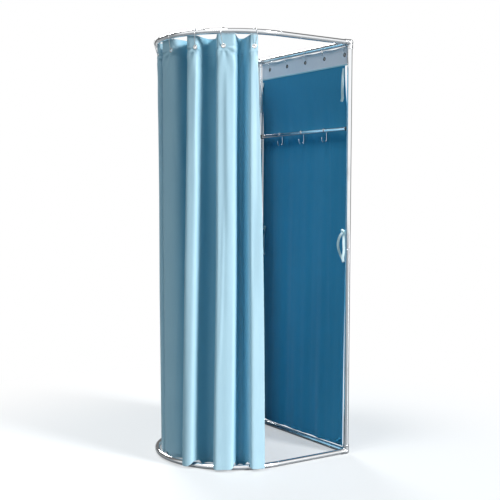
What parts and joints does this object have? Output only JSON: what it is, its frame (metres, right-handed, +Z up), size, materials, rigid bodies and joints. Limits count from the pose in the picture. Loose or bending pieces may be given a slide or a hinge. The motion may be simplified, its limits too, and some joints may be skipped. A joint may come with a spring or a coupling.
{
  "type": "portable fitting room",
  "caption": "Free-standing tube frame with a flat side and a rounded end, a ring-hung curtain drawn round it, a tied back sheet and a garment bar with sliding hooks.",
  "frame": {"origin": "floor point under the middle of the outer box", "axes": "+Z up; +X along the flat wall side, from the covered side towards the doorway; -Y towards the rounded end"},
  "size_m": [0.8114, 0.8306, 2.0045],
  "materials": {
    "tube": "polished chrome-plated steel tube",
    "fitting": "cast, chrome plated, a little duller than the tube",
    "cup": "moulded, dark grey",
    "hook_wire": "plated wire",
    "ring_wire": "bright bent wire",
    "grommet": "nickel plated, pressed",
    "curtain_cloth": "light blue satin with a soft sheen",
    "header_cloth": "pale grey-lilac plain weave",
    "sheet_cloth": "deep blue plain weave",
    "ribbon": "pale blue satin ribbon"
  },
  "bodies": {
    "frame": {"base_rail": "tube", "top_rail": "tube", "base_wall_rail": "tube", "top_wall_rail": "tube", "left_post": "tube", "right_post": "tube", "base_corner_left": "fitting", "top_corner_left": "fitting", "base_corner_right": "fitting", "top_corner_right": "fitting", "bar_cup_left": "cup", "bar_cup_right": "cup", "garment_bar": "tube", "curtain_gather": "curtain_cloth", "curtain_side": "curtain_cloth", "curtain_ring_8": "ring_wire", "curtain_grommet_8": "grommet", "curtain_ring_9": "ring_wire", "curtain_grommet_9": "grommet", "curtain_ring_10": "ring_wire", "curtain_grommet_10": "grommet", "sheet_header": "header_cloth", "back_sheet": "sheet_cloth", "sheet_ring_1": "ring_wire", "sheet_eyelet_1": "grommet", "sheet_ring_2": "ring_wire", "sheet_eyelet_2": "grommet", "sheet_ring_3": "ring_wire", "sheet_eyelet_3": "grommet", "sheet_ring_4": "ring_wire", "sheet_eyelet_4": "grommet", "sheet_ring_5": "ring_wire", "sheet_eyelet_5": "grommet", "top_tie_left": "ribbon", "top_tie_right": "ribbon", "bow_tie_left": "ribbon", "bow_tie_right": "ribbon", "corner_tie_left": "ribbon", "corner_tie_right": "ribbon"},
    "curtain": {"curtain_lead": "curtain_cloth", "curtain_ring_1": "ring_wire", "curtain_ring_2": "ring_wire", "curtain_ring_3": "ring_wire", "curtain_ring_4": "ring_wire", "curtain_grommet_1": "grommet", "curtain_grommet_2": "grommet", "curtain_grommet_3": "grommet", "curtain_grommet_4": "grommet"},
    "ring_5": {"curtain_ring_5": "ring_wire", "curtain_grommet_5": "grommet"},
    "ring_6": {"curtain_ring_6": "ring_wire", "curtain_grommet_6": "grommet"},
    "ring_7": {"curtain_ring_7": "ring_wire", "curtain_grommet_7": "grommet"},
    "hook_1": {"garment_hook_1": "hook_wire"},
    "hook_2": {"garment_hook_2": "hook_wire"},
    "hook_3": {"garment_hook_3": "hook_wire"}
  },
  "joints": [
    {"name": "curtain_draw", "type": "hinge", "parent": "frame", "child": "curtain", "pos_m": [-0.00384, -0.01557, 0], "axis": [0, 0, 1], "range_deg": [-30, 25], "deforming": ["curtain_gather"]},
    {"name": "ring_5_follow", "type": "hinge", "parent": "frame", "child": "ring_5", "pos_m": [-0.00384, -0.01557, 0], "axis": [0, 0, 1], "range_deg": [-28.72, 23.94]},
    {"name": "ring_6_follow", "type": "hinge", "parent": "frame", "child": "ring_6", "pos_m": [-0.00384, -0.01557, 0], "axis": [0, 0, 1], "range_deg": [-16.92, 14.11]},
    {"name": "ring_7_follow", "type": "hinge", "parent": "frame", "child": "ring_7", "pos_m": [-0.00384, -0.01557, 0], "axis": [0, 0, 1], "range_deg": [-3.24, 2.71]},
    {"name": "hook_1_slide", "type": "slide", "parent": "frame", "child": "hook_1", "axis": [1, 0, 0], "range_m": [-0.08, 0.08]},
    {"name": "hook_2_slide", "type": "slide", "parent": "frame", "child": "hook_2", "axis": [1, 0, 0], "range_m": [-0.08, 0.08]},
    {"name": "hook_3_slide", "type": "slide", "parent": "frame", "child": "hook_3", "axis": [1, 0, 0], "range_m": [-0.08, 0.08]}
  ],
  "couplings": [
    {"joint": "ring_5_follow", "follows": "curtain_draw", "ratio": 0.9557},
    {"joint": "ring_6_follow", "follows": "curtain_draw", "ratio": 0.5622},
    {"joint": "ring_7_follow", "follows": "curtain_draw", "ratio": 0.1063}
  ]
}
